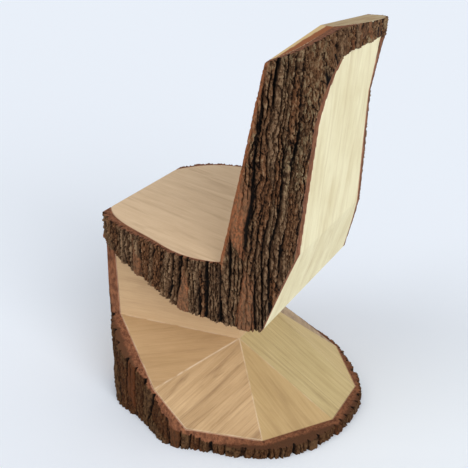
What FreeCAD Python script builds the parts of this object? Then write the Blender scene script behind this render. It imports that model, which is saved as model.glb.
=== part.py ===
import FreeCAD, Part
import math
import os

from FreeCAD import Placement, Rotation, Vector

# Chair sawn from a log that keeps its bark. Millimetres.
# Origin on the floor under the log's axis, +Z up, the sitter faces -Y.

# The log
trunk_radius = 288.0
shoulder_height = 700.0
crown_height = 812.0
spare_length = 40.0
# How far the bark swells, in percent of the radius, every 20 degrees from +X,
# at the floor, the seat, the shoulder, the crown and the uncut end
floor_lobes = (1, -2, 3, 2, 0, -1, -7, -7, -4, -2, -3, 0, 0.5, 0, 0.5, 0, 1, -4.5)
seat_lobes = (-3, -1.5, -4, -8.5, -10, -10, -11, -7, -7, -9, -11, -1.5, 1.5, 0.5, 0.5, 6, -0.5, -7)
shoulder_lobes = (-3, -1.5, 0, -3.5, -2, -4, -12.5, -5.5, -1.5, -1.5, -3, -1.5, -1, -1, -1, 0, -1, -3)
crown_lobes = (-2, 0, 0, -13, -19, -20, -7.5, 6, 1.5, 0, -1.5, -1.5, -1, -1, -1, 0, -1, -3)
end_lobes = (0, 0, -2, -13, -19.5, -19.5, -7, 7, 3, 0, -1.5, -1.5, -1, -1, -1, 0, -1, -3)
# How thick the bark is, every 20 degrees: up to the shoulder, at the crown and the uncut end
bark_widths = (11, 10, 14, 14, 14, 8, 8, 8, 10, 14, 14, 14, 14, 14, 14, 20, 22, 16)
crown_bark_widths = (11, 10, 14, 5, 3, 3, 4, 6, 10, 14, 14, 14, 14, 14, 14, 20, 22, 16)
end_bark_widths = (11, 10, 40, 60, 50, 6, 4, 4, 10, 14, 14, 14, 14, 14, 14, 20, 22, 16)

# Seat
seat_height = 440.0
front_flat_depth = 39.0
seat_thickness = 109.0
underside_slope = 12.4
plank_seam_overrun = 7.3
plank_seam_back = -59.0

# Backrest and its tail under the seat
back_thickness = 114.0
back_lean = 10.2
rear_flat_depth = 89.0
rear_lean = 4.5
tail_undercut = 42.0

# Top of the backrest: two sawn slopes that meet in a peak on its front face,
# each falling to its side and rising to the rear
peak_height = 846.0
peak_offset = 18.0
left_fall = 6.4
left_rise = 15.1
right_fall = 4.3
right_rise = 5.7

# Post under the seat
post_back = 35.0
post_back_half_width = 82.0
post_wall_overrun = 19.3

# Fan of base wedges: they fall from the crest at the post's back corners
# to corners on the rim, each with its angle, bark width and height
crest_height = 165.0
rim_height = 22.0
front_corner_bark = 14.0
front_corner_height = 192.0
flank_corner_angle = -16.7
flank_corner_bark = 20.0
flank_corner_height = 100.0
side_corner_angle = 2.6
side_corner_bark = 10.0
back_corner_angle = 36.9
back_corner_bark = 25.0
tail_corner_angle = 74.6
tail_corner_bark = 20.0

# Dowels
dowel_diameter = 20.0
dowel_length = 80.0
fan_dowel_heights = (24.0, 54.0, 24.0)
fan_dowel_reach = 70.0
post_dowel_height = 70.0
post_dowel_spread = 41.0
seat_dowel_rows = (0.0, -100.0)
side_dowel_setback = 60.0
side_dowel_spacing = 85.0
back_dowel_places = (-150.0, -20.0, 80.0, 180.0)
plank_dowel_setback = 84.5
plank_dowel_count = 3

# Worked out from the above
seat_front = trunk_radius - front_flat_depth
front_half_chord = math.sqrt(trunk_radius ** 2 - seat_front ** 2)
post_front_half_width = front_half_chord + post_wall_overrun
underside_height = seat_height - seat_thickness
rear_crease = trunk_radius - rear_flat_depth
back_front = rear_crease - back_thickness
reach = 3 * trunk_radius
above = peak_height + trunk_radius
lobe_step = 360 / len(floor_lobes)
up = Vector(0, 0, 1)


def on_circle(angle, radius, height=0.0):
    turn = math.radians(angle)
    return Vector(radius * math.cos(turn), radius * math.sin(turn), height)


def log_outline(height, lobes, skins):
    points = []
    for place, (lobe, skin) in enumerate(zip(lobes, skins)):
        radius = trunk_radius * (1 + lobe / 100) - skin
        points.append(on_circle(place * lobe_step, radius, height))
    curve = Part.BSplineCurve()
    curve.interpolate(points, PeriodicFlag=True)
    return Part.Wire([curve.toShape()])


def log(skins, crown_skins, end_skins):
    """The log inside a skin of the given widths, all zero for the whole log."""
    stations = (
        (0.0, floor_lobes, skins),
        (seat_height, seat_lobes, skins),
        (shoulder_height, shoulder_lobes, skins),
        (crown_height, crown_lobes, crown_skins),
        (peak_height + spare_length, end_lobes, end_skins),
    )
    wires = [log_outline(*station) for station in stations]
    return Part.makeLoft(wires, True, True)


def cut_beyond(shape, point, normal):
    """Saw off what lies beyond the plane on the side that normal points to."""
    waste = Part.makeBox(2 * reach, 2 * reach, reach, Vector(-reach, -reach, 0))
    waste.Placement = Placement(point, Rotation(up, normal))
    return shape.cut(waste)


def cut_over(shape, first, second, third):
    """Saw off what lies above the plane through three points."""
    normal = (second - first).cross(third - first)
    if normal.z < 0:
        normal = -normal
    return cut_beyond(shape, first, normal)


def prism(corners, bottom, top):
    points = [Vector(corner.x, corner.y, bottom) for corner in corners]
    face = Part.Face(Part.makePolygon(points + points[:1]))
    return face.extrude(Vector(0, 0, top - bottom))


def slab(low_x, high_x, low_y, high_y, bottom, top):
    size = (high_x - low_x, high_y - low_y, top - bottom)
    return Part.makeBox(*size, Vector(low_x, low_y, bottom))


def mirrored(point):
    return Vector(-point.x, point.y, point.z)


def leaning_back(angle):
    """Outward normal of a face that looks back, leaning that way as it rises."""
    turn = math.radians(angle)
    return Vector(0, math.cos(turn), -math.sin(turn))


def underside_at(y):
    return underside_height - y * math.tan(math.radians(underside_slope))


# Regions sawn out of the log, before wood and bark are told apart

def over_underside(shape):
    slope = math.radians(underside_slope)
    below = Vector(0, -math.sin(slope), -math.cos(slope))
    return cut_beyond(shape, Vector(0, 0, underside_height), below)


def seat_region():
    block = slab(-reach, reach, -seat_front, back_front, 0, seat_height)
    return over_underside(block)


def back_region():
    block = over_underside(slab(-reach, reach, back_front, reach, 0, above))
    hip = Vector(0, back_front, seat_height)
    block = cut_beyond(block, hip, -leaning_back(back_lean))
    crease = Vector(0, rear_crease, seat_height)
    block = cut_beyond(block, crease, leaning_back(rear_lean))
    tail_height = seat_height - underside_at(rear_crease - tail_undercut)
    tail_lean = math.atan2(tail_undercut, tail_height)
    block = cut_beyond(block, crease, leaning_back(math.degrees(tail_lean)))
    peak_y = back_front + (peak_height - seat_height) * math.tan(math.radians(back_lean))
    peak = Vector(peak_offset, peak_y, peak_height)
    for side, fall, rise in ((1, left_fall, left_rise), (-1, right_fall, right_rise)):
        fall_step, rise_step = math.tan(math.radians(fall)), math.tan(math.radians(rise))
        block = cut_beyond(block, peak, Vector(side * fall_step, -rise_step, 1))
    return block


def post_spread():
    """How fast each side wall of the post steps out towards the front."""
    return (post_front_half_width - post_back_half_width) / (seat_front + post_back)


def post_wall_at(y):
    return post_back_half_width + post_spread() * (post_back - y)


def post_region():
    front = -seat_front - trunk_radius
    front_half = post_wall_at(front)
    corners = [
        Vector(post_back_half_width, post_back, 0),
        Vector(-post_back_half_width, post_back, 0),
        Vector(-front_half, front, 0),
        Vector(front_half, front, 0),
    ]
    block = prism(corners, 0, above)
    slope = math.radians(underside_slope)
    over = Vector(0, math.sin(slope), math.cos(slope))
    block = cut_beyond(block, Vector(0, 0, underside_height), over)
    return cut_beyond(block, Vector(0, -seat_front, 0), Vector(0, -1, 0))


def front_corner():
    """Where the post's side wall comes out of the wood."""
    rim = trunk_radius - front_corner_bark
    spread = post_spread()
    at_axis = post_wall_at(0)
    square = 1 + spread ** 2
    root = math.sqrt((spread * at_axis) ** 2 - square * (at_axis ** 2 - rim ** 2))
    y = (spread * at_axis - root) / square
    return Vector(post_wall_at(y), y, front_corner_height)


def flank_corner():
    rim = trunk_radius - flank_corner_bark
    return on_circle(flank_corner_angle, rim, flank_corner_height)


def side_corner():
    return on_circle(side_corner_angle, trunk_radius - side_corner_bark)


def back_corner():
    return on_circle(back_corner_angle, trunk_radius - back_corner_bark, rim_height)


def tail_corner():
    return on_circle(tail_corner_angle, trunk_radius - tail_corner_bark, rim_height)


def crest_corner():
    return Vector(post_back_half_width, post_back, crest_height)


def beyond(corner):
    """A point well outside the log, in line with the seam through the corner."""
    crest = crest_corner()
    run = Vector(corner.x - crest.x, corner.y - crest.y, 0)
    return crest + run.normalize() * reach


def wedge_regions():
    """Plan of each left wedge as wood corners and bark corners, and its fall."""
    rims = {
        "front": [front_corner(), flank_corner()],
        "side": [flank_corner(), side_corner(), back_corner()],
        "corner": [back_corner(), tail_corner()],
    }
    regions = {}
    for name, rim in rims.items():
        wood = [crest_corner()] + rim
        bark = rim + [beyond(rim[-1]), beyond(rim[0])]
        regions[name] = (wood, bark, (crest_corner(), rim[0], rim[-1]))
    return regions


def rear_wedge_region():
    crest = crest_corner()
    tail = tail_corner()
    wood = [mirrored(crest), crest, tail, mirrored(tail)]
    bark = [tail, beyond(tail), mirrored(beyond(tail)), mirrored(tail)]
    return wood, bark, (crest, mirrored(crest), tail)


def wedge(corners, fall):
    """The plan's prism under the falling facet, never thinner than the rim."""
    sloping = cut_over(prism(corners, 0, seat_height), *fall)
    ledge = prism(corners, 0, rim_height)
    return sloping.fuse(ledge).removeSplitter()


def base_pieces(trunk):
    pieces = {}
    for name, (wood, bark, fall) in wedge_regions().items():
        for side in ("left", "right"):
            if side == "right":
                wood = [mirrored(point) for point in wood]
                bark = [mirrored(point) for point in bark]
                fall = [mirrored(point) for point in fall]
            pieces["base_%s_wedge_%s" % (name, side)] = wedge(wood, fall)
            pieces["bark_base_%s_%s" % (name, side)] = wedge(bark, fall).common(trunk)
    wood, bark, fall = rear_wedge_region()
    pieces["base_rear_wedge"] = wedge(wood, fall)
    pieces["bark_base_rear"] = wedge(bark, fall).common(trunk)
    return pieces


def split_left_right(shape):
    left = shape.common(slab(0, reach, -reach, reach, -reach, above))
    right = shape.common(slab(-reach, 0, -reach, reach, -reach, above))
    return left, right


def log_pieces(core, shell):
    pieces = {"center_post": post_region().common(core)}
    seat = seat_region().common(core)
    seam_front, seam_back = plank_seam()
    run = (seam_back - seam_front).normalize()
    across = Vector(-run.y, run.x, 0)
    pieces["seat_block"] = cut_beyond(seat, seam_front, across)
    pieces["seat_side_plank"] = cut_beyond(seat, seam_front, -across)
    pieces["back_block"] = back_region().common(core)
    barks = {
        "bark_post": post_region().common(shell),
        "bark_seat": seat_region().common(shell),
        "bark_back": back_region().common(shell),
    }
    for name, bark in barks.items():
        pieces[name + "_left"], pieces[name + "_right"] = split_left_right(bark)
    return pieces


def dowel(middle, direction):
    start = middle - direction * (dowel_length / 2)
    return Part.makeCylinder(dowel_diameter / 2, dowel_length, start, direction)


def fan_dowels(side):
    """Dowels across the seams between the wedges, part way out to the rim."""
    crest = Vector(post_back_half_width, post_back, 0)
    dowels = []
    seams = (flank_corner(), back_corner(), tail_corner())
    for corner, height in zip(seams, fan_dowel_heights):
        run = corner - crest
        run.z = 0
        run.normalize()
        middle = crest + run * fan_dowel_reach + up * height
        across = Vector(-run.y, run.x, 0)
        middle.x, across.x = side * middle.x, side * across.x
        dowels.append(dowel(middle, across))
    return dowels


def post_to_base_dowels():
    """From the post's side walls into the front wedges, and back into the rear one."""
    dowels = []
    front_row = front_corner().y + side_dowel_setback
    for side in (1, -1):
        outward = Vector(side, post_spread(), 0).normalize()
        for y in (front_row, front_row + side_dowel_spacing):
            middle = Vector(side * post_wall_at(y), y, post_dowel_height)
            dowels.append(dowel(middle, outward))
        rear = Vector(side * post_dowel_spread, post_back, post_dowel_height)
        dowels.append(dowel(rear, Vector(0, 1, 0)))
    return dowels


def post_to_seat_dowels():
    dowels = []
    for side in (1, -1):
        for y in seat_dowel_rows:
            x = side * post_dowel_spread
            dowels.append(dowel(Vector(x, y, underside_at(y)), up))
    return dowels


def back_to_seat_dowels():
    height = (seat_height + underside_at(back_front)) / 2
    middles = [Vector(x, back_front, height) for x in back_dowel_places]
    return [dowel(middle, Vector(0, 1, 0)) for middle in middles]


def plank_seam():
    """Two points on the seam at seat height, front first."""
    front_x = -front_half_chord - plank_seam_overrun
    front = Vector(front_x, -seat_front, seat_height)
    back = Vector(plank_seam_back, back_front, seat_height)
    return front, back


def plank_dowels():
    front, back = plank_seam()
    run = (back - front).normalize()
    first_y = front.y + plank_dowel_setback
    last_y = back.y - plank_dowel_setback
    dowels = []
    for row in range(plank_dowel_count):
        y = first_y + (last_y - first_y) * row / (plank_dowel_count - 1)
        middle = front + run * ((y - front.y) / run.y)
        middle.z = (seat_height + underside_at(y)) / 2
        dowels.append(dowel(middle, Vector(run.y, -run.x, 0)))
    return dowels


def fan_wedges(side):
    wedges = ["base_%s_wedge_%s" % (name, side) for name in ("front", "side", "corner")]
    return wedges + ["base_rear_wedge"]


def drill_and_fill(pieces):
    """Bore the woods that each group of dowels joins, and add the dowels."""
    fronts = ["base_front_wedge_left", "base_front_wedge_right"]
    joints = {
        "post_to_seat_dowels": (post_to_seat_dowels(), ["center_post", "seat_block"]),
        "post_to_base_dowels": (
            post_to_base_dowels(), ["center_post", "base_rear_wedge"] + fronts),
        "back_to_seat_dowels": (
            back_to_seat_dowels(), ["back_block", "seat_block", "seat_side_plank"]),
        "plank_dowels": (plank_dowels(), ["seat_block", "seat_side_plank"]),
        "fan_dowels_left": (fan_dowels(1), fan_wedges("left")),
        "fan_dowels_right": (fan_dowels(-1), fan_wedges("right")),
    }
    for name, (dowels, woods) in joints.items():
        for wood in woods:
            pieces[wood] = pieces[wood].cut(dowels)
        pieces[name] = Part.makeCompound(dowels)


def main():
    os.makedirs("parts", exist_ok=True)
    no_skin = [0] * len(bark_widths)
    trunk = log(no_skin, no_skin, no_skin)
    core = log(bark_widths, crown_bark_widths, end_bark_widths)
    pieces = log_pieces(core, trunk.cut(core))
    pieces.update(base_pieces(trunk))
    drill_and_fill(pieces)
    for name, shape in pieces.items():
        shape.exportStep("parts/%s.step" % name)
        print(name, len(shape.Solids), "solids", round(shape.Volume / 1000), "ml")


main()
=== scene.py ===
import math

import bmesh
import bpy
from mathutils import Matrix, Vector, noise
from mathutils.bvhtree import BVHTree


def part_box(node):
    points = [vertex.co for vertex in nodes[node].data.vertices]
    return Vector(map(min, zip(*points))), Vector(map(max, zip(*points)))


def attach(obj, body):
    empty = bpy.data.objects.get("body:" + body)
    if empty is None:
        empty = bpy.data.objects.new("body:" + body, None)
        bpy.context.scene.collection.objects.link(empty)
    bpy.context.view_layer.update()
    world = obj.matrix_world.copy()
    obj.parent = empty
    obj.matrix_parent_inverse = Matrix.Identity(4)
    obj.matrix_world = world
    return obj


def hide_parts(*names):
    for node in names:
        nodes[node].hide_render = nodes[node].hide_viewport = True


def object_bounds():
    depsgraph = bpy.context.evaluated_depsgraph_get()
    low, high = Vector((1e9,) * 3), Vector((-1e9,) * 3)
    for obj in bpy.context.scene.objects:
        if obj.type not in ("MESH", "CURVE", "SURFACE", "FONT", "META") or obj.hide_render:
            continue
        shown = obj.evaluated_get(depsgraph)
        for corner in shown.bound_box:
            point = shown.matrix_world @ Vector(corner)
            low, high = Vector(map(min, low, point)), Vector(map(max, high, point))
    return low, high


# Log chair with its bark left on. Metres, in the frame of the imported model.

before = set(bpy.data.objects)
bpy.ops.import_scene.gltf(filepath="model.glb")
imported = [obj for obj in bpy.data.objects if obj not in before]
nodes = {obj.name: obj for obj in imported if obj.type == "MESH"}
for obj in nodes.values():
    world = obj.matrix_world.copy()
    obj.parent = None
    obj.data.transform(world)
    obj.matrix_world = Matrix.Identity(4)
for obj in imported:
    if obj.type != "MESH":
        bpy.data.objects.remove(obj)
cadLow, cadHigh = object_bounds()
print("stage: frame loaded")


# Short ways to write material nodes

def colour(values):
    return (*values, 1.0)


def isSocket(value):
    return isinstance(value, bpy.types.NodeSocket)


# Joins a socket to each input named, or sets the input where a plain value is given
def plug(tree, node, sockets):
    for key, value in sockets.items():
        if isSocket(value):
            tree.links.new(value, node.inputs[key])
        else:
            node.inputs[key].default_value = value


def addNode(tree, kind, sockets=None, **settings):
    made = tree.nodes.new("ShaderNode" + kind)
    for key, value in settings.items():
        setattr(made, key, value)
    plug(tree, made, sockets or {})
    return made


def startMaterial(name):
    material = bpy.data.materials.new(name)
    material.use_nodes = True
    shader = material.node_tree.nodes["Principled BSDF"]
    return material, material.node_tree, shader


def maths(tree, operation, first, second=0.0):
    return addNode(tree, "Math", {0: first, 1: second}, operation=operation).outputs[0]


def times(tree, first, second):
    return maths(tree, "MULTIPLY", first, second)


def dotProduct(tree, first, second):
    return addNode(tree, "VectorMath", {0: first, 1: second}, operation="DOT_PRODUCT").outputs["Value"]


# 0 at the low end of a span, 1 at its high end
def between(tree, value, low, high):
    return addNode(tree, "MapRange", {"Value": value, "From Min": low, "From Max": high}).outputs[0]


def mixColours(tree, factor, first, second, blend="MIX"):
    sockets = {0: factor}
    for place, shade in ((6, first), (7, second)):
        sockets[place] = shade if isSocket(shade) else colour(shade)
    return addNode(tree, "Mix", sockets, data_type="RGBA", blend_type=blend).outputs[2]


# The shade, taken a share of the way to the target where the factor is full
def partWay(tree, shade, factor, share, target):
    return mixColours(tree, times(tree, factor, share), shade, target)


# A noise whose grain has the size given, in metres
def noiseOf(tree, where, size, turn=(0, 0, 0), detail=3.0, rough=0.55, twist=0.0):
    sockets = {"Vector": where, "Rotation": turn, "Scale": size}
    spread = addNode(tree, "Mapping", sockets, vector_type="TEXTURE").outputs[0]
    sockets = {"Vector": spread, "Scale": 1.0, "Detail": detail, "Roughness": rough, "Distortion": twist}
    return addNode(tree, "TexNoise", sockets).outputs[0]


def patternOf(tree, where, span, **settings):
    return between(tree, noiseOf(tree, where, **settings), *span)


# The value, shifted up and down by a noise
def stirred(tree, value, mottle, reach):
    return maths(tree, "ADD", value, times(tree, maths(tree, "SUBTRACT", mottle, 0.5), reach))


# Camera, light and floor

cameraView = {
    "place": (1.5184, 0.7516, 1.1418),
    "azimuth": 117.08,
    "pitch": 24.34,
    "roll": 1.01,
    "lens": 65.4,
}

studio = {
    "floorColour": (0.86, 0.91, 0.98),
    "floorRoughness": 0.9,
    "floorReach": 30,
    "seenColour": (0.80, 0.86, 0.93),
    "seenStrength": 1.0,
    "worldColour": (0.97, 0.98, 1.0),
    "worldStrength": 0.55,
    "keyStrength": 2.1,
    "keyTurn": (65, 0, 142),
    "fillStrength": 0.6,
    "fillTurn": (45, 0, 60),
    "softness": 40,
}


def turned(degrees):
    return tuple(math.radians(angle) for angle in degrees)


def addCamera(view):
    turn, pitch = turned((view["azimuth"], view["pitch"]))
    away = Vector((math.sin(turn) * math.cos(pitch), -math.cos(turn) * math.cos(pitch), math.sin(pitch)))
    roll = Matrix.Rotation(math.radians(view["roll"]), 4, "Z")
    camera = bpy.data.objects.new("photoCamera", bpy.data.cameras.new("photoCamera"))
    camera.data.lens = view["lens"]
    camera.matrix_world = (
        Matrix.Translation(view["place"]) @ away.to_track_quat("Z", "Y").to_matrix().to_4x4() @ roll)
    bpy.context.collection.objects.link(camera)
    bpy.context.scene.camera = camera


def addSun(name, strength, degrees):
    lamp = bpy.data.lights.new(name, "SUN")
    lamp.energy = strength
    lamp.angle = math.radians(studio["softness"])
    holder = bpy.data.objects.new(name, lamp)
    holder.rotation_euler = turned(degrees)
    bpy.context.collection.objects.link(holder)


# The backdrop is one colour where it is seen, and another where it lights the chair
def addWorld():
    world = bpy.data.worlds.new("studio")
    world.use_nodes = True
    tree = world.node_tree
    path = addNode(tree, "LightPath")
    seen = maths(tree, "MAXIMUM", path.outputs["Is Camera Ray"], path.outputs["Is Glossy Ray"])
    seen = maths(tree, "MAXIMUM", seen, path.outputs["Is Transmission Ray"])
    shade = mixColours(tree, seen, studio["worldColour"], studio["seenColour"])
    sockets = {"Value": seen, "To Min": studio["worldStrength"], "To Max": studio["seenStrength"]}
    strength = addNode(tree, "MapRange", sockets).outputs[0]
    plug(tree, tree.nodes["Background"], {"Color": shade, "Strength": strength})
    bpy.context.scene.world = world


def addFloor():
    sheet = bmesh.new()
    bmesh.ops.create_grid(sheet, x_segments=1, y_segments=1, size=studio["floorReach"])
    mesh = bpy.data.meshes.new("floor")
    sheet.to_mesh(mesh)
    sheet.free()
    floor = bpy.data.objects.new("floor", mesh)
    bpy.context.collection.objects.link(floor)
    material, tree, shader = startMaterial("paleFloor")
    plug(tree, shader, {
        "Base Color": colour(studio["floorColour"]),
        "Roughness": studio["floorRoughness"],
        "Specular IOR Level": 0.0,
    })
    mesh.materials.append(material)


addCamera(cameraView)
addSun("keyLight", studio["keyStrength"], studio["keyTurn"])
addSun("fillLight", studio["fillStrength"], studio["fillTurn"])
bpy.context.scene.view_settings.view_transform = "Standard"
addWorld()
addFloor()
print("stage: camera, light and floor")


# Sawn wood

woodShared = {
    "blotches": 0.5,
    "fibres": 0.24,
    "roughness": 0.55,
    "fibreRoughness": 0.15,
    "specular": 0.25,
    "bump": 0.12,
    "bumpDepth": 0.001,
    "lineDent": -0.8,
    # How far the painted highlight along the joints reaches
    "highlightReach": 0.0022,
    # The pale colour of the painted highlight along the joints
    "wearAndHighlight": (0.74, 0.60, 0.46),
    "seamReach": 0.0007,
    "seamDark": 0.6,
    "topStains": 0.6,
    "topPores": 0.30,
    "barkEdgeWander": 0.012,
}

# A size is along the grain and across it twice, and a span is where the pattern starts and is full
grainPatterns = {
    "streak": dict(size=(0.26, 0.0075, 0.0075), span=(0.30, 0.70), detail=6.0, rough=0.65, twist=0.5),
    "figure": dict(size=(0.24, 0.024, 0.024), span=(0.50, 0.72), detail=6.0, rough=0.6, twist=0.8),
    "fibre": dict(size=(0.045, 0.0014, 0.0014), span=(0.35, 0.70), detail=5.0, rough=0.7),
    "line": dict(size=(0.40, 0.0030, 0.0030), span=(0.60, 0.72), detail=4.0, twist=0.6),
    "blotch": dict(size=(0.11, 0.055, 0.055), span=(0.40, 0.68), detail=4.0),
}

# These lie along X, Y and Z
plainPatterns = {
    "topStain": dict(size=(0.10, 0.013, 0.013), span=(0.44, 0.62), detail=4.0, rough=0.6),
    "topPore": dict(size=(0.05, 0.006, 0.006), span=(0.35, 0.65), detail=5.0, rough=0.7),
    # Patches of the painted highlight along the joints
    "highlightPatch": dict(size=(0.03, 0.03, 0.03), span=(0.36, 0.56), detail=4.0),
}

barkEdgeNoise = dict(size=(0.02, 0.02, 0.02), detail=4.0)

# How far one part of a face's normal goes before a look starts, and where it is full
facingSpans = {
    "frontOrRear": (0.85, 0.95),
    "front": (-0.5, -0.6),
    "left": (-0.01, 0.01),
    "slopingTop": (0.5, 0.6),
    "top": (0.3, 0.5),
}

# How flats and saw cuts are told in the plain pieces
flatFinding = {
    "facing": 0.5,
    "uprightLean": 0.02,
    "leastCut": 0.002,
    "leastFlat": 0.0015,
    "level": 0.99,
    "sameWay": 0.9995,
    "samePlane": 0.0004,
}

# Each look's wear share is how strong the painted highlight along the joints on the top faces is
woods = {
    "seat": {
        "pieces": ("seat_block", "seat_side_plank"),
        "toward": (0, 0, 1),
        "grain": (0.27, 0.96, 0),
        "pale": (0.735, 0.545, 0.35),
        "mid": (0.61, 0.435, 0.265),
        "dark": (0.39, 0.25, 0.135),
        "streaks": 0.55,
        "figure": 0.45,
        "lines": 0.25,
        "jointHighlight": 0.0,
        "uprightFront": True,
    },
    "back": {
        "pieces": ("back_block",),
        "toward": (0, 1, -0.08),
        "grain": (0.0, 0.08, 1),
        "pale": (0.815, 0.76, 0.52),
        "mid": (0.61, 0.52, 0.30),
        "dark": (0.48, 0.36, 0.19),
        "streaks": 0.20,
        "figure": 0.40,
        "lines": 0.06,
        "specular": 0.04,
        # The backrest's front lies in shade: the same wood as the rear, painted warmer and darker there
        "frontShadeTint": (0.93, 0.80, 0.80),
        "jointHighlight": 0.0,
        # The top's two slopes are one end grain, painted lit and shaded: the left one lighter, the right
        # one darker
        "leftTopLit": (0.68, 0.49, 0.24),
        "rightTopShaded": (0.43, 0.325, 0.185),
        "rightTopStain": (0.27, 0.15, 0.062),
        "leftTopBark": (0.28, 0.088, 0.026),
        "leftTopBarkSpan": (0.178, 0.181),
        "leftTopBarkSlant": 0.085,
    },
    "post": {
        "pieces": ("center_post",),
        "toward": (1, 0.3, 0),
        "grain": (0, 1, -0.08),
        "pale": (0.59, 0.40, 0.225),
        "mid": (0.47, 0.305, 0.16),
        "dark": (0.29, 0.17, 0.08),
        "streaks": 0.6,
        "figure": 0.4,
        "lines": 0.25,
        "jointHighlight": 0.0,
        "uprightFront": True,
    },
    "baseFront": {
        "pieces": ("base_front_wedge",),
        "toward": (0.5, 0.2, 0.8),
        "grain": (-0.54, 0.84, 0.08),
        "pale": (0.50, 0.325, 0.17),
        "mid": (0.39, 0.245, 0.113),
        "dark": (0.22, 0.12, 0.052),
        "streaks": 0.6,
        "figure": 0.5,
        "lines": 0.25,
        "jointHighlight": 0.6,
    },
    "baseSide": {
        "pieces": ("base_side_wedge",),
        "toward": (0.5, 0.2, 0.8),
        "grain": (-0.83, 0.36, 0.39),
        "pale": (0.60, 0.41, 0.225),
        "mid": (0.36, 0.225, 0.105),
        "dark": (0.20, 0.11, 0.05),
        "streaks": 0.85,
        "figure": 0.95,
        "lines": 0.45,
        "jointHighlight": 0.55,
    },
    "baseCorner": {
        "pieces": ("base_corner_wedge_left",),
        "toward": (0.4, 0.4, 0.8),
        "grain": (0.15, 0.79, -0.60),
        "pale": (0.495, 0.347, 0.168),
        "mid": (0.385, 0.258, 0.109),
        "dark": (0.21, 0.12, 0.05),
        "streaks": 0.6,
        "figure": 0.5,
        "lines": 0.3,
        "jointHighlight": 0.3,
    },
    # The same wood as the near corner, painted paler: painted light on a corner that faces away from the
    # key light
    "baseFarCornerPaintedLight": {
        "pieces": ("base_corner_wedge_right",),
        "toward": (0.4, 0.4, 0.8),
        "grain": (0.15, 0.79, -0.60),
        "pale": (0.68, 0.52, 0.25),
        "mid": (0.54, 0.40, 0.17),
        "dark": (0.30, 0.19, 0.08),
        "streaks": 0.6,
        "figure": 0.4,
        "lines": 0.4,
        "jointHighlight": 0.3,
    },
    "baseRear": {
        "pieces": ("base_rear_wedge",),
        "toward": (0, 0.5, 0.8),
        "grain": (-0.03, 0.84, -0.54),
        "pale": (0.60, 0.48, 0.25),
        "mid": (0.44, 0.33, 0.15),
        "dark": (0.21, 0.135, 0.055),
        "streaks": 0.8,
        "figure": 0.4,
        "lines": 0.7,
        "jointHighlight": 0.3,
    },
}


def mirroredTo(side, values):
    return Vector((side * values[0], values[1], values[2]))


# Normal of the widest flat on the piece that looks that way
def widestFlat(piece, toward):
    flats = {}
    for face in piece.data.polygons:
        if face.normal.dot(toward) > flatFinding["facing"]:
            key = tuple(round(value, 2) for value in face.normal)
            area, _ = flats.get(key, (0, None))
            flats[key] = (area + face.area, face.normal.copy())
    return max(flats.values(), key=lambda flat: flat[0])[1]


# The upright planes a piece was cut along, each as its distance from the origin and its normal
def uprightCuts(piece):
    cuts = {}
    for face in piece.data.polygons:
        upright = abs(face.normal.z) < flatFinding["uprightLean"]
        if upright and face.area > flatFinding["leastCut"]:
            reach = face.center.dot(face.normal)
            cuts[tuple(round(value, 2) for value in (*face.normal, reach))] = (reach, face.normal.copy())
    return list(cuts.values())


# How far each point lies from the nearest joint of its piece
def jointGap(tree, where, piece):
    nearest = None
    for reach, normal in uprightCuts(piece):
        gap = maths(tree, "ABSOLUTE", maths(tree, "SUBTRACT", dotProduct(tree, where, normal), reach))
        nearest = maths(tree, "MINIMUM", nearest, gap) if nearest else gap
    return nearest


# Where the grain is read: a face that looks to the front or rear swaps depth for height
def grainPlace(tree, place, facing):
    parts = addNode(tree, "SeparateXYZ", {0: place}).outputs
    swapped = addNode(tree, "CombineXYZ", {0: parts[0], 1: parts[2], 2: parts[1]}).outputs[0]
    front = between(tree, maths(tree, "ABSOLUTE", facing[1]), *facingSpans["frontOrRear"])
    return addNode(tree, "Mix", {0: front, 4: place, 5: swapped}, data_type="VECTOR").outputs[1]


# The two slopes of the back's top, one end grain with painted light: the left one painted pale with bark
# along its rear, the right one painted darker and stained
def topShade(tree, look, place, facing):
    left = between(tree, facing[0], *facingSpans["left"])
    stain = patternOf(tree, place, **plainPatterns["topStain"])
    stained = partWay(tree, look["rightTopShaded"], stain, woodShared["topStains"], look["rightTopStain"])
    # Painted light: the left slope lighter than the right one
    shade = mixColours(tree, left, stained, look["leftTopLit"])
    pores = patternOf(tree, place, **plainPatterns["topPore"])
    shade = partWay(tree, shade, pores, woodShared["topPores"], look["dark"])
    reach = dotProduct(tree, place, (look["leftTopBarkSlant"], 1, 0))
    wander = noiseOf(tree, place, **barkEdgeNoise)
    reach = stirred(tree, reach, wander, woodShared["barkEdgeWander"])
    barky = times(tree, between(tree, reach, *look["leftTopBarkSpan"]), left)
    return mixColours(tree, barky, shade, look["leftTopBark"])


# Joints on the top faces: a painted highlight, pale in patches along them, or a thin dark seam where no
# highlight is painted
def jointShade(tree, look, place, facing, piece, shade):
    gap = jointGap(tree, place, piece)
    top = between(tree, facing[2], *facingSpans["top"])
    if look["jointHighlight"]:
        # Painted highlight: pale in patches along the joints
        patches = patternOf(tree, place, **plainPatterns["highlightPatch"])
        wearAndHighlight = times(tree, between(tree, gap, woodShared["highlightReach"], 0.0), top)
        return partWay(tree, shade, times(tree, wearAndHighlight, patches), look["jointHighlight"], woodShared["wearAndHighlight"])
    seam = times(tree, between(tree, gap, woodShared["seamReach"], 0.0), top)
    return partWay(tree, shade, seam, woodShared["seamDark"], look["dark"])


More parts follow.
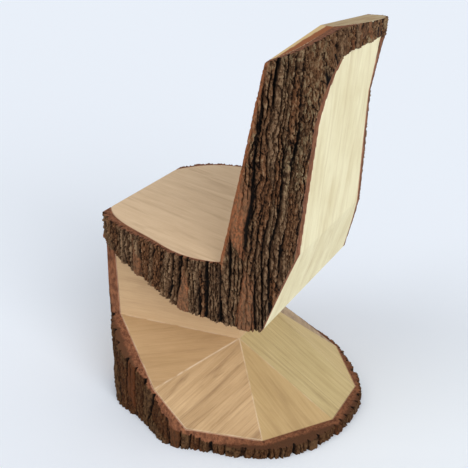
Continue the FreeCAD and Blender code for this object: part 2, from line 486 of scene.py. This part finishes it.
def woodMaterial(name, look, grain, piece, normal):
    grain = (grain - normal * grain.dot(normal)).normalized()
    axes = Matrix((grain, normal.cross(grain), normal)).transposed()
    turn = tuple(axes.to_euler())
    material, tree, shader = startMaterial(name)
    source = addNode(tree, "TexCoord")
    place = source.outputs["Object"]
    facing = addNode(tree, "SeparateXYZ", {0: source.outputs["Normal"]}).outputs
    where = grainPlace(tree, place, facing) if "uprightFront" in look else place
    streak, figure, fibre, line, blotch = [
        patternOf(tree, where, turn=turn, **grainPatterns[kind])
        for kind in ("streak", "figure", "fibre", "line", "blotch")]
    shade = partWay(tree, look["pale"], streak, look["streaks"], look["mid"])
    shade = partWay(tree, shade, blotch, woodShared["blotches"], look["mid"])
    shade = partWay(tree, shade, figure, look["figure"], look["dark"])
    shade = partWay(tree, shade, fibre, woodShared["fibres"], look["dark"])
    shade = partWay(tree, shade, line, look["lines"], look["dark"])
    if "frontShadeTint" in look:
        # Painted shade: the front face warmer and darker than the rear
        tinted = mixColours(tree, 1.0, shade, look["frontShadeTint"], blend="MULTIPLY")
        shade = mixColours(tree, between(tree, facing[1], *facingSpans["front"]), shade, tinted)
    # The sloping top, painted lit on the left and shaded on the right
    if "leftTopLit" in look:
        slopingTop = between(tree, facing[2], *facingSpans["slopingTop"])
        shade = mixColours(tree, slopingTop, shade, topShade(tree, look, place, facing))
    shade = jointShade(tree, look, place, facing, piece, shade)
    rough = maths(tree, "ADD", times(tree, fibre, woodShared["fibreRoughness"]), woodShared["roughness"])
    height = maths(tree, "ADD", fibre, times(tree, line, woodShared["lineDent"]))
    sockets = {"Height": height, "Strength": woodShared["bump"], "Distance": woodShared["bumpDepth"]}
    plug(tree, shader, {
        "Base Color": shade,
        "Roughness": rough,
        "Specular IOR Level": look.get("specular", woodShared["specular"]),
        "Normal": addNode(tree, "Bump", sockets).outputs[0],
    })
    return material


def dressWood(key, look):
    for name in sorted(nodes):
        if not name.startswith(look["pieces"]):
            continue
        side = -1 if name.endswith("_right") else 1
        piece = nodes[name]
        normal = widestFlat(piece, mirroredTo(side, look["toward"]))
        grain = mirroredTo(side, look["grain"])
        material = woodMaterial(key + "_" + name, look, grain, piece, normal)
        piece.data.materials.clear()
        piece.data.materials.append(material)


for key, look in woods.items():
    dressWood(key, look)
print("stage: sawn wood")


# Dowels, hidden in the joints

dowelLook = {
    "pale": (0.62, 0.47, 0.30),
    "dark": (0.42, 0.28, 0.16),
    "fibre": dict(size=(0.006, 0.006, 0.006), span=(0.35, 0.65), detail=5.0, rough=0.7),
    "roughness": 0.65,
}


def dressDowels():
    material, tree, shader = startMaterial("dowelWood")
    where = addNode(tree, "TexCoord").outputs["Object"]
    fibre = patternOf(tree, where, **dowelLook["fibre"])
    shade = mixColours(tree, fibre, dowelLook["pale"], dowelLook["dark"])
    plug(tree, shader, {"Base Color": shade, "Roughness": dowelLook["roughness"]})
    for name in sorted(nodes):
        if "dowels" in name:
            nodes[name].data.materials.clear()
            nodes[name].data.materials.append(material)


dressDowels()
print("stage: dowels")


# Bark

barkShape = {
    "voxel": 0.0017,
    "mergeGap": 1e-5,
    "proud": 0.0035,            # how far the highest bark stands out of the plain piece
    "thinnest": 0.0008,
    "leastThickness": 1e-6,
    "crispReach": 0.007,        # within this of a saw cut the relief keeps to its plane
    "snapReach": 0.0009,
    "plateWidth": 0.021,        # tall plates between the main furrows
    "plateHeight": 0.13,
    "furrowHalf": 0.0046,
    "furrowLeast": 0.6,
    "furrowGain": 0.7,
    "furrowDepth": 0.0100,
    "furrowCalm": 0.6,
    "crossHalf": 0.0022,
    "crossDepth": 0.0030,
    "levelDepth": 0.0024,       # how unevenly the plates sit
    "ridgeWidth": 0.0080,       # flakes on the plates, with dips and narrow cracks between
    "ridgeHeight": 0.042,
    "ridgeHalf": 0.0024,
    "ridgeDepth": 0.0042,
    "flakeShare": 0.3,
    "crackHalf": 0.0017,
    "crackDepth": 0.0040,
    "crossShare": 0.6,
    "crumbWidth": 0.0042,
    "crumbHeight": 0.0065,
    "crumbDepth": 0.0062,
    "crumbGain": 0.7,
    "crumbFade": 0.55,
    "crumbStep": 2.1,
    "crumbLayers": 3,
    "bend": 0.75,
    "bendPlates": 2,
    "stretch": 1.8,
    "stretchPlates": 5,
    "stagger": 5,
    "tilt": 0.35,
    "ripple": 0.0016,
    "rippleRate": 110,
    "rippleUp": 2,
    "rippleSeed": 1,
    "leanFrom": 0.44,           # above the seat the plates follow the back's lean
    "lean": 0.10,
    "rubbedAbove": 0.74,
    "rubbedDraw": 9,
    "rubbedCalm": 0.65,
    "rearFacing": 0.99,         # how the backrest's rear and front cuts are told
    "rearSkinFrom": 0.803,
    "rearProud": 0.0045,
    "frontFacing": -0.9,
    "frontLean": 0.1,
    "edgeReach": 0.014,
    "edgeRelief": 0.35,
    "noEdge": 1.0,              # where no front edge is near
    "jointWidth": 0.0036,
    "jointDepth": 0.0095,
    "crease": 50,
    "woodFacing": -0.6,
    "trunkRadius": 0.288,
}

barkPlaces = {
    "post": {"scale": 1.0, "roughness": 1.0, "leastFurrow": 0.1},
    "back": {"scale": 1.15, "roughness": 1.0, "leastFurrow": 0.1},
    "seat": {"scale": 0.9, "roughness": 1.0, "leastFurrow": 0.3},
    "base": {"scale": 1.6, "roughness": 0.6, "leastFurrow": 0.6},
}

# How the main furrows and the narrow cracks come and go over the log
barkStrengths = {
    "furrow": {"across": 30, "up": 7, "draw": 4.5, "middle": 0.7, "swing": 1.8},
    "crack": {"across": 45, "up": 10, "draw": 7.7, "middle": 0.6, "swing": 1.8},
}

barkColours = {
    # The furrow and flank colours are painted shade: near black in the furrows, dark on their walls
    "furrow": (0.003, 0.002, 0.0015),
    "flankShade": (0.026, 0.012, 0.006),
    "plate": (0.138, 0.069, 0.033),
    "shaded": (0.088, 0.048, 0.026),
    "russet": (0.180, 0.078, 0.034),
    # A painted highlight on the ridge tops
    "crest": (0.320, 0.200, 0.112),
    "lichen": (0.300, 0.225, 0.125),
    "rubbed": (0.250, 0.094, 0.040),
    "raw": (0.360, 0.112, 0.042),
    "sawn": (0.300, 0.122, 0.060),
    "sawnDark": (0.125, 0.048, 0.026),
    "inner": (0.520, 0.300, 0.200),
    "brim": (0.250, 0.088, 0.036),
    "crust": (0.110, 0.048, 0.024),
    "baseTint": (0.46, 0.38, 0.30),
}

barkNoises = {
    "fine": dict(size=(0.0034, 0.0034, 0.0085), detail=5.0, rough=0.75),
    "flecks": dict(size=(0.0060, 0.0060, 0.016), detail=4.0, rough=0.7),
    "wide": dict(size=(0.045, 0.045, 0.16), detail=3.0),
}

# Where each colour starts and where it is full, on the mark that barkSkin or barkSawn reads there
barkSpans = {
    "plate": (-0.9, 0.1),
    "russet": (0.2, 0.8),
    "flankShade": (0.20, 0.50),
    "brown": (0.42, 0.75),
    "crest": (0.80, 1.05),
    "lichenPatch": (0.44, 0.62),
    "lichenFleck": (0.49, 0.58),
    "lichenRise": (0.55, 0.80),
    "lichenHeight": (0.42, 0.60),
    "raw": (0.52, 0.62),
    "bareFleck": (0.40, 0.60),
    "bareRise": (0.40, 0.62),
    # groove: where the painted shade along the furrows and cracks starts and is full
    "groove": (0.35, 0.95),
    "onBase": (0.24, 0.19),
    "brimReach": (0.007, 0.003),
    "brimFleck": (0.36, 0.52),
    "sawnFleck": (0.38, 0.62),
    "innerReach": (0.0024, 0.0011),
    "innerHeight": (0.78, 0.76),
    "crustReach": (0.0150, 0.0195),
    "sawnDepth": (0.0010, 0.0026),
}

barkAmounts = {
    "fineStir": 1.6,
    "fleckStir": 1.0,
    "crustStir": 0.016,
    "crest": 0.7,
    "lichen": 0.75,
    "lichenBelow": 0.25,
    "bare": 0.8,
    "groove": 0.85,
    "roughness": 0.9,
    "specular": 0.12,
    "bump": 0.9,
    "bumpDepth": 0.004,
}

# What each point of the bark keeps for the material
barkMarks = ("relief", "groove", "under", "wood", "tone", "rubbed", "edge")

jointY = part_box("seat_block")[1][1]    # the seam between seat and backrest


def smoothStep(low, high, value):
    share = min(1.0, max(0.0, (value - low) / (high - low)))
    return share * share * (3 - 2 * share)


# 1 where the gap is nothing, 0 where it is past the reach
def nearness(reach, gap):
    return 1 - smoothStep(0.0, reach, gap)


# How far a place lies from the crack beside it and the one above or below, and its plate's number
def plateGaps(along, height, width, tall, layer):
    shape = barkShape
    bend = noise.noise(Vector((along / width / shape["bendPlates"], height / tall, layer))) * shape["bend"]
    spread = noise.noise(Vector((along / width / shape["stretchPlates"], 0.3, layer))) * shape["stretch"]
    place = along / width + bend + spread
    column = math.floor(place)
    stagger = shape["stagger"] * noise.cell(Vector((column, layer, 0.5)))
    stack = height / tall + stagger + (place - column) * shape["tilt"]
    level = math.floor(stack)
    beside = min(place - column, column + 1 - place) * width
    above = min(stack - level, level + 1 - stack) * tall
    return beside, above, Vector((column + 0.5, level + 0.5, layer + 0.5))


# How strongly a furrow or crack shows at a place
def strengthOf(along, height, kind, least):
    spot = Vector((along * kind["across"], height * kind["up"], kind["draw"]))
    return min(1.0, max(least, kind["middle"] + kind["swing"] * noise.noise(spot)))


# How deep the bark lies at a place, how far it is in a furrow or crack, how its plate sits, if it is rubbed
def barkRelief(place, scale, roughness, leastFurrow):
    shape = barkShape
    ripple = noise.noise_vector(place * shape["rippleRate"]) * shape["ripple"]
    turn = (math.atan2(place.y, place.x) + math.pi / 2) % (2 * math.pi)    # from the barkless front
    along = turn * shape["trunkRadius"] + ripple.x
    height = place.z + shape["rippleUp"] * ripple.z

    beside, above, plate = plateGaps(along, height, shape["plateWidth"] * scale, shape["plateHeight"], 1)
    strength = strengthOf(along, height, barkStrengths["furrow"], leastFurrow)
    half = shape["furrowHalf"] * (shape["furrowLeast"] + shape["furrowGain"] * strength)
    furrow = nearness(half, beside) * strength
    cross = nearness(shape["crossHalf"], above)
    tone = noise.cell(plate)
    rubbed = float(noise.cell(plate + Vector((0, 0, shape["rubbedDraw"]))) > shape["rubbedAbove"])

    beside, above, flake = plateGaps(along, height, shape["ridgeWidth"] * scale, shape["ridgeHeight"], 2)
    dip = nearness(shape["ridgeHalf"], min(beside, above))
    opening = strengthOf(along, height, barkStrengths["crack"], 0.0)
    split = nearness(shape["crackHalf"], above) * shape["crossShare"]
    split = max(split, nearness(shape["crackHalf"], beside)) * opening
    spot = Vector((along / shape["crumbWidth"], 0.5, height / shape["crumbHeight"]))
    crumb = noise.fractal(spot, shape["crumbFade"], shape["crumbStep"], shape["crumbLayers"])

    depth = furrow * shape["furrowDepth"] + (1 - furrow) * tone * shape["levelDepth"]
    rough = dip * shape["ridgeDepth"] + cross * shape["crossDepth"]
    rough += noise.cell(flake) * shape["flakeShare"] * shape["ridgeDepth"]
    rough += min(1.0, max(0.0, 0.5 + shape["crumbGain"] * crumb)) * shape["crumbDepth"]
    rough *= 1 - shape["furrowCalm"] * furrow
    rough *= 1 - shape["rubbedCalm"] * rubbed
    rough += split * shape["crackDepth"]
    depth += rough * roughness
    return depth, max(furrow, split), tone, rubbed


# Point and normal of each wide flat on the sawn wood, and of the plane that parts left from right
def findSawPlanes():
    flats = {}
    for name, piece in nodes.items():
        if name.startswith("bark"):
            continue
        for face in piece.data.polygons:
            key = tuple(round(value, 3) for value in (*face.normal, face.center.dot(face.normal)))
            area, _, _ = flats.get(key, (0, None, None))
            flats[key] = (area + face.area, face.center.copy(), face.normal.copy())
    wide = [(point, normal) for area, point, normal in flats.values() if area > flatFinding["leastFlat"]]
    return wide + [(Vector((0, 0, 0)), Vector((1, 0, 0)))]


sawPlanes = findSawPlanes()


# The saw cut that a face lies in, or None
def planeOf(face):
    centre = face.calc_center_median()
    if abs(face.normal.z) > flatFinding["level"]:
        return centre, face.normal.copy()
    for point, normal in sawPlanes:
        sameWay = abs(face.normal.dot(normal)) > flatFinding["sameWay"]
        if sameWay and abs((centre - point).dot(normal)) < flatFinding["samePlane"]:
            return point, normal
    return None


# Search trees over the bark's outside and its wood side, and the planes of its sawn faces
def sortFaces(shell):
    corners = [vertex.co.copy() for vertex in shell.verts]
    skin, inside, cuts = [], [], {}
    for face in shell.faces:
        centre = face.calc_center_median()
        facing = face.normal.dot(Vector((centre.x, centre.y, 0)).normalized())
        plane = planeOf(face)
        if plane and facing > barkShape["woodFacing"]:
            point, normal = plane
            key = (round(abs(normal.x), 2), round(abs(normal.y), 2), round(abs(point.dot(normal)), 3))
            cuts[key] = plane
        else:
            (skin if facing > 0 else inside).append([vertex.index for vertex in face.verts])
    trees = [BVHTree.FromPolygons(corners, faces) for faces in (skin, inside)]
    return (*trees, list(cuts.values()))


def mergedCopy(name):
    shell = bmesh.new()
    shell.from_mesh(nodes[name].data)
    bmesh.ops.remove_doubles(shell, verts=shell.verts, dist=barkShape["mergeGap"])
    shell.normal_update()
    shell.verts.index_update()
    return shell


def denseMesh(shell, voxel):
    coarse = bpy.data.meshes.new("coarse")
    shell.to_mesh(coarse)
    holder = bpy.data.objects.new("coarse", coarse)
    bpy.context.collection.objects.link(holder)
    remesh = holder.modifiers.new("dense", "REMESH")
    remesh.mode = "VOXEL"
    remesh.voxel_size = voxel
    shaped = holder.evaluated_get(bpy.context.evaluated_depsgraph_get())
    dense = bpy.data.meshes.new_from_object(shaped)
    bpy.data.objects.remove(holder)
    return dense


# Keeps a sawn face flat: near a cut, a point only slides within its plane
def alongCuts(co, shift, cuts):
    for point, normal in cuts:
        gap = (co - point).dot(normal)
        if abs(gap) < barkShape["snapReach"]:
            co = co - normal * gap
            gap = 0.0
        hold = nearness(barkShape["crispReach"], abs(gap))
        shift = shift - normal * shift.dot(normal) * hold
    return co + shift


# True on the flat rear of the back's top, which is bark and no saw cut
def onRearSkin(co, near, under, plane):
    point, facing = plane
    inPlane = abs((co - point).dot(facing)) < barkShape["voxel"]
    return co.z > barkShape["rearSkinFrom"] and inPlane and near.z > co.z - under


# The relief, calmer along the backrest's front edge, with the seam of seat and back cut into it
def finishedRelief(near, part, edge):
    shape = barkShape
    lean = max(0.0, near.z - shape["leanFrom"]) * shape["lean"]
    spot = Vector((near.x, near.y - lean, near.z))
    depth, groove, tone, rubbed = barkRelief(spot, **barkPlaces[part])
    crisp = shape["edgeRelief"] + (1 - shape["edgeRelief"]) * smoothStep(0.0, shape["edgeReach"], edge)
    depth, groove = depth * crisp, groove * crisp
    if part != "base" and near.z < shape["leanFrom"]:
        seam = nearness(shape["jointWidth"], abs(near.y - jointY))
        depth, groove = depth + seam * shape["jointDepth"], max(groove, seam)
    return depth, groove, tone, rubbed


def barkPiece(name, material):
    shape = barkShape
    shell = mergedCopy(name)
    skin, inside, cuts = sortFaces(shell)
    mesh = denseMesh(shell, shape["voxel"])
    shell.free()
    part = name.split("_")[1]
    isBack = part == "back"
    rearCuts = [plane for plane in cuts if isBack and plane[1].y > shape["rearFacing"]]
    frontCuts = [
        plane for plane in cuts
        if isBack and plane[1].y < shape["frontFacing"] and plane[1].z > shape["frontLean"]]
    otherCuts = [plane for plane in cuts if plane not in rearCuts]
    deepest = shape["furrowDepth"] + shape["crumbDepth"]
    for mark in barkMarks:
        mesh.attributes.new(mark, "FLOAT", "POINT")
    layers = [mesh.attributes[mark].data for mark in barkMarks]
    for vertex in mesh.vertices:
        co = vertex.co
        near, normal, _, under = skin.find_nearest(co)
        wood = inside.find_nearest(co)[3]
        held, proud = cuts, shape["proud"]
        for plane in rearCuts:
            if onRearSkin(co, near, under, plane):
                near, normal, under = co, plane[1], 0.0
                held, proud = otherCuts, shape["rearProud"]
        edge = min([abs((co - point).dot(facing)) for point, facing in frontCuts], default=shape["noEdge"])
        depth, groove, tone, rubbed = finishedRelief(near, part, edge)
        for layer, value in zip(layers, (1 - depth / deepest, groove, under, wood, tone, rubbed, edge)):
            layer[vertex.index].value = value
        outward = Vector((normal.x, normal.y, 0))
        rise = max(proud - depth, shape["thinnest"] - wood)
        shift = outward * rise * wood / max(shape["leastThickness"], wood + under)
        moved = alongCuts(co, shift, held)
        vertex.co = Vector((min(max(value, low), high) for value, low, high in zip(moved, cadLow, cadHigh)))
    mesh.materials.clear()
    mesh.materials.append(material)
    mesh.polygons.foreach_set("use_smooth", [True] * len(mesh.polygons))
    mesh.set_sharp_from_angle(angle=math.radians(shape["crease"]))
    piece = bpy.data.objects.new("rough_" + name, mesh)
    bpy.context.collection.objects.link(piece)
    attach(piece, "root")
    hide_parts(name)
    print("bark", name, len(mesh.polygons), "faces", len(cuts), "cuts")


def barkMask(tree, mark, span):
    return between(tree, mark, *barkSpans[span])


# The outside: painted shade, near black in the furrows and dark on their walls, brown plates with a painted
# highlight on their crests, lichen, and orange where a plate is rubbed bare
def barkSkin(tree, marks, onBase):
    colours, amounts = barkColours, barkAmounts
    uneven = stirred(tree, marks["relief"], marks["fine"], amounts["fineStir"])
    uneven = stirred(tree, uneven, marks["flecks"], amounts["fleckStir"])
    brown = mixColours(tree, barkMask(tree, marks["tone"], "plate"), colours["shaded"], colours["plate"])
    brown = mixColours(tree, barkMask(tree, marks["tone"], "russet"), brown, colours["russet"])
    # Painted shade: the deeper the bark lies, the darker it is painted, down to near black in the furrows
    shade = mixColours(tree, barkMask(tree, uneven, "flankShade"), colours["furrow"], colours["flankShade"])
    shade = mixColours(tree, barkMask(tree, uneven, "brown"), shade, brown)
    # Painted highlight on the highest ridges
    shade = partWay(tree, shade, barkMask(tree, uneven, "crest"), amounts["crest"], colours["crest"])

    lichen = times(
        tree, barkMask(tree, marks["wide"], "lichenPatch"), barkMask(tree, marks["flecks"], "lichenFleck"))
    lichen = times(tree, lichen, barkMask(tree, uneven, "lichenRise"))
    highUp = maths(tree, "ADD", barkMask(tree, marks["height"], "lichenHeight"), amounts["lichenBelow"])
    shade = partWay(tree, shade, times(tree, lichen, highUp), amounts["lichen"], colours["lichen"])

    bare = mixColours(tree, barkMask(tree, marks["wide"], "raw"), colours["rubbed"], colours["raw"])
    bare = mixColours(tree, barkMask(tree, marks["fine"], "bareFleck"), brown, bare)
    wearAndHighlight = times(tree, marks["rubbed"], barkMask(tree, marks["relief"], "bareRise"))
    shade = partWay(tree, shade, wearAndHighlight, amounts["bare"], bare)
    # Painted shade along the furrows, the cracks and the seam of seat and back
    groove = barkMask(tree, marks["groove"], "groove")
    shade = partWay(tree, shade, groove, amounts["groove"], colours["furrow"])

    dim = mixColours(tree, 1.0, shade, colours["baseTint"], blend="MULTIPLY")
    shade = mixColours(tree, onBase, shade, dim)
    brim = times(
        tree, barkMask(tree, marks["edge"], "brimReach"), barkMask(tree, marks["fine"], "brimFleck"))
    return mixColours(tree, brim, shade, colours["brim"])


# The sawn edge: brown, with a pale line beside the wood below the top and a dark crust round the base
def barkSawn(tree, marks, onBase):
    colours = barkColours
    shade = mixColours(
        tree, barkMask(tree, marks["flecks"], "sawnFleck"), colours["sawnDark"], colours["sawn"])
    inner = times(
        tree, barkMask(tree, marks["wood"], "innerReach"), barkMask(tree, marks["height"], "innerHeight"))
    shade = mixColours(tree, inner, shade, colours["inner"])
    reach = stirred(tree, marks["wood"], marks["flecks"], barkAmounts["crustStir"])
    crust = times(tree, barkMask(tree, reach, "crustReach"), onBase)
    return mixColours(tree, crust, shade, colours["crust"])


def barkMaterial():
    material, tree, shader = startMaterial("bark")
    where = addNode(tree, "TexCoord").outputs["Object"]
    marks = {"height": addNode(tree, "SeparateXYZ", {0: where}).outputs[2]}
    for mark in barkMarks:
        marks[mark] = addNode(tree, "Attribute", attribute_name=mark).outputs["Fac"]
    for kind, settings in barkNoises.items():
        marks[kind] = noiseOf(tree, where, **settings)
    onBase = barkMask(tree, marks["height"], "onBase")
    sawnThrough = barkMask(tree, marks["under"], "sawnDepth")
    shade = mixColours(
        tree, sawnThrough, barkSkin(tree, marks, onBase), barkSawn(tree, marks, onBase))
    amounts = barkAmounts
    sockets = {"Height": marks["fine"], "Strength": amounts["bump"], "Distance": amounts["bumpDepth"]}
    plug(tree, shader, {
        "Base Color": shade,
        "Roughness": amounts["roughness"],
        "Specular IOR Level": amounts["specular"],
        "Normal": addNode(tree, "Bump", sockets).outputs[0],
    })
    return material


noise.seed_set(barkShape["rippleSeed"])    # otherwise the ripple follows the clock
rawBark = barkMaterial()
for name in sorted(nodes):
    if name.startswith("bark"):
        barkPiece(name, rawBark)
print("stage: bark")
